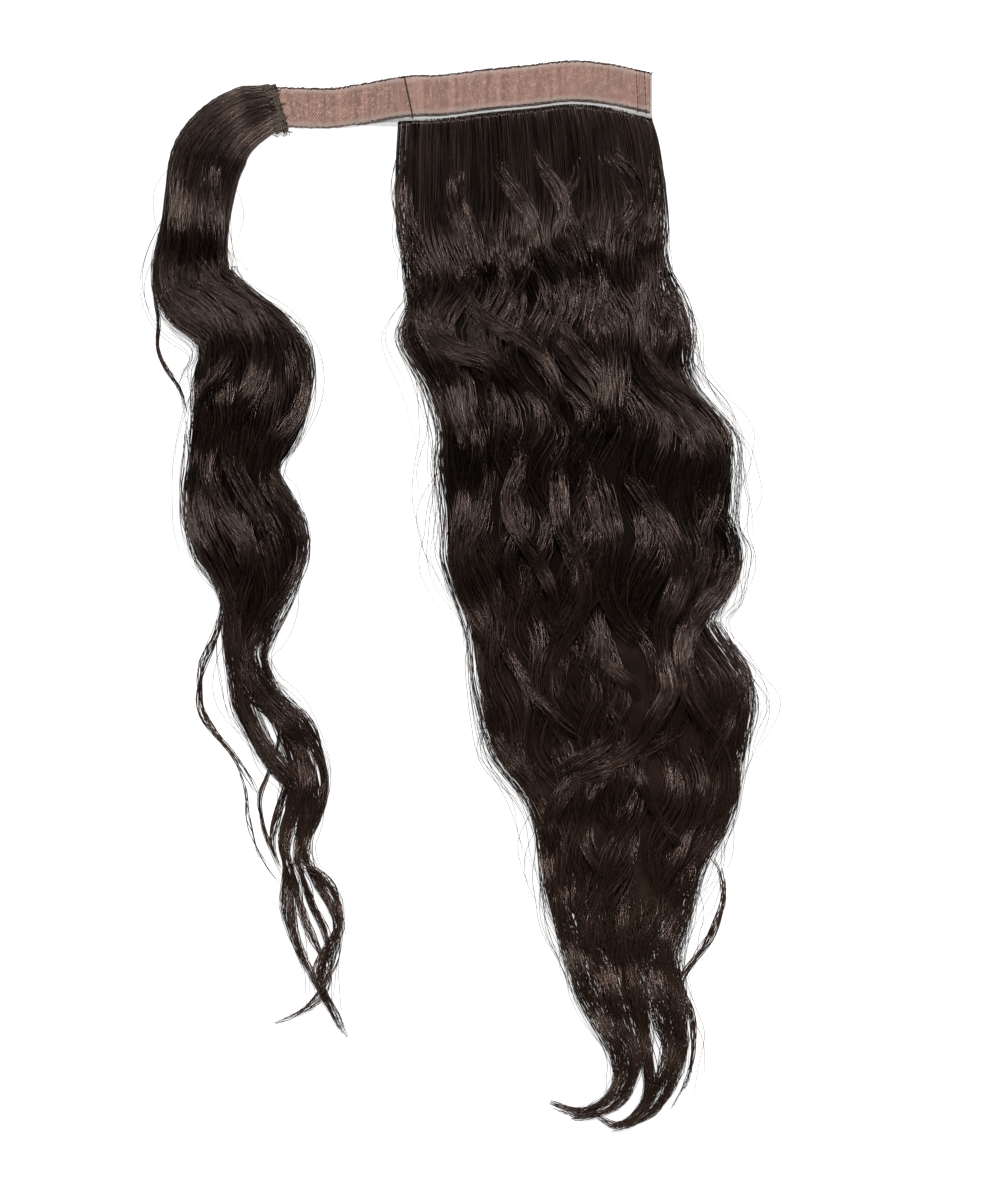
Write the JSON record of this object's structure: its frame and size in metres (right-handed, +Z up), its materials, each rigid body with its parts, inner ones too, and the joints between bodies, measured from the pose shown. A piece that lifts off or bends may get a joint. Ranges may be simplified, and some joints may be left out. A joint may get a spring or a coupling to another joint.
{
  "type": "ponytail hairpiece",
  "caption": "Wrap-around ponytail hairpiece lying flat: long wavy dark hair sewn under a hook-and-loop tape, with a lock at the tape's end that winds round the base.",
  "frame": {"origin": "centre of the piece's bounding box, on the surface that it lies on", "axes": "+Z up from the surface, +Y towards the tape, +X along the tape from the wrap lock to the tape's free end; the hair runs towards -Y"},
  "size_m": [0.3016, 0.5345, 0.0176],
  "materials": {
    "tape": "short pinkish-brown pile, matt",
    "backing": "white woven strip, soft sheen",
    "weft": "stitched brown thread over hair, matt",
    "hair": "dark brown wavy hair, silky gloss along the strands"
  },
  "bodies": {
    "root": {"hook_tape": "tape", "backing_strip": "backing", "wrap_weft": "weft", "tail_hair": "hair", "wrap_hair": "hair"}
  },
  "joints": []
}
